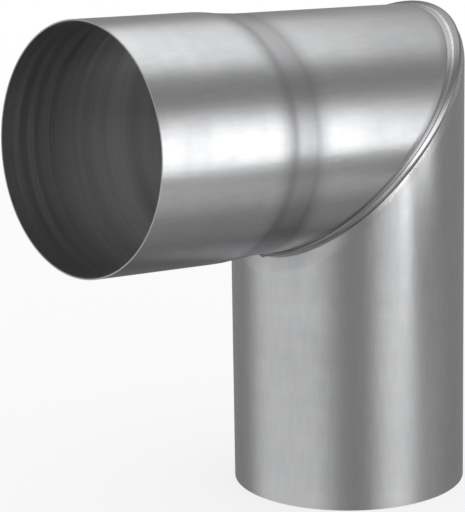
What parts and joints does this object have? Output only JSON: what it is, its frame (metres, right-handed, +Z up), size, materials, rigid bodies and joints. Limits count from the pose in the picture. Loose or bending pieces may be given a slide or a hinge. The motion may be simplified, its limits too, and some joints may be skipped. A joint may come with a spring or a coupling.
{
  "type": "downpipe bend",
  "caption": "Right-angled bend for a round rainwater downpipe: a plain spigot leg and a widened socket leg, joined at a mitre by a raised, soldered lock seam.",
  "frame": {"origin": "centre of the spigot leg's lower end", "axes": "+Z up along the spigot leg, -X towards the socket leg, which rises 5 degrees to its mouth; the XZ plane is the plane of symmetry"},
  "size_m": [0.1984, 0.103, 0.2199],
  "materials": {
    "zinc_sheet": "bright rolled zinc with fine lines round the tubes",
    "solder": "soft solder, wiped smooth with small pits"
  },
  "bodies": {
    "root": {"socket_leg": "zinc_sheet", "spigot_leg": "zinc_sheet", "solder": "solder"}
  },
  "joints": []
}
